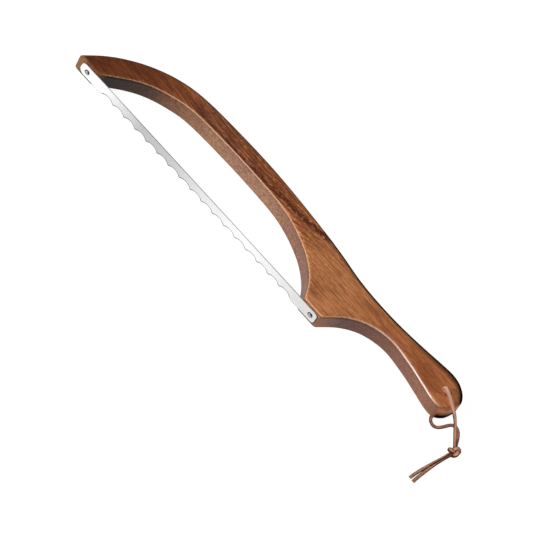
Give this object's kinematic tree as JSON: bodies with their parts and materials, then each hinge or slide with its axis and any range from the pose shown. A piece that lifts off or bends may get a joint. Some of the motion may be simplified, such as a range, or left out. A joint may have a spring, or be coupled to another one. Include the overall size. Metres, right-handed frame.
{
  "type": "bow bread knife",
  "caption": "Hardwood bow with a scalloped blade stretched flat between two screwed ends, a shaped grip and a knotted leather lace at the butt.",
  "frame": {"origin": "the middle, in plan, of the box around the bow, blade and screws, on the plane of the back face that the knife lies on", "axes": "+X along the blade from the tip to the butt, +Y from the blade towards the back of the bow, +Z out of the front face"},
  "size_m": [0.4257, 0.0908, 0.0265],
  "materials": {
    "bow_wood": "oiled walnut-brown hardwood, satin",
    "blade_steel": "bright satin stainless steel, ground edge",
    "screw_steel": "stainless steel, dark in the recess",
    "lace_leather": "suede split leather, matt"
  },
  "bodies": {
    "knife": {"bow_frame": "bow_wood", "blade": "blade_steel", "tip_screw": "screw_steel", "heel_screw": "screw_steel", "lace_front_strand": "lace_leather", "lace_back_strand": "lace_leather", "lace_knot": "lace_leather", "lace_tail_left": "lace_leather", "lace_tail_right": "lace_leather"}
  },
  "joints": []
}
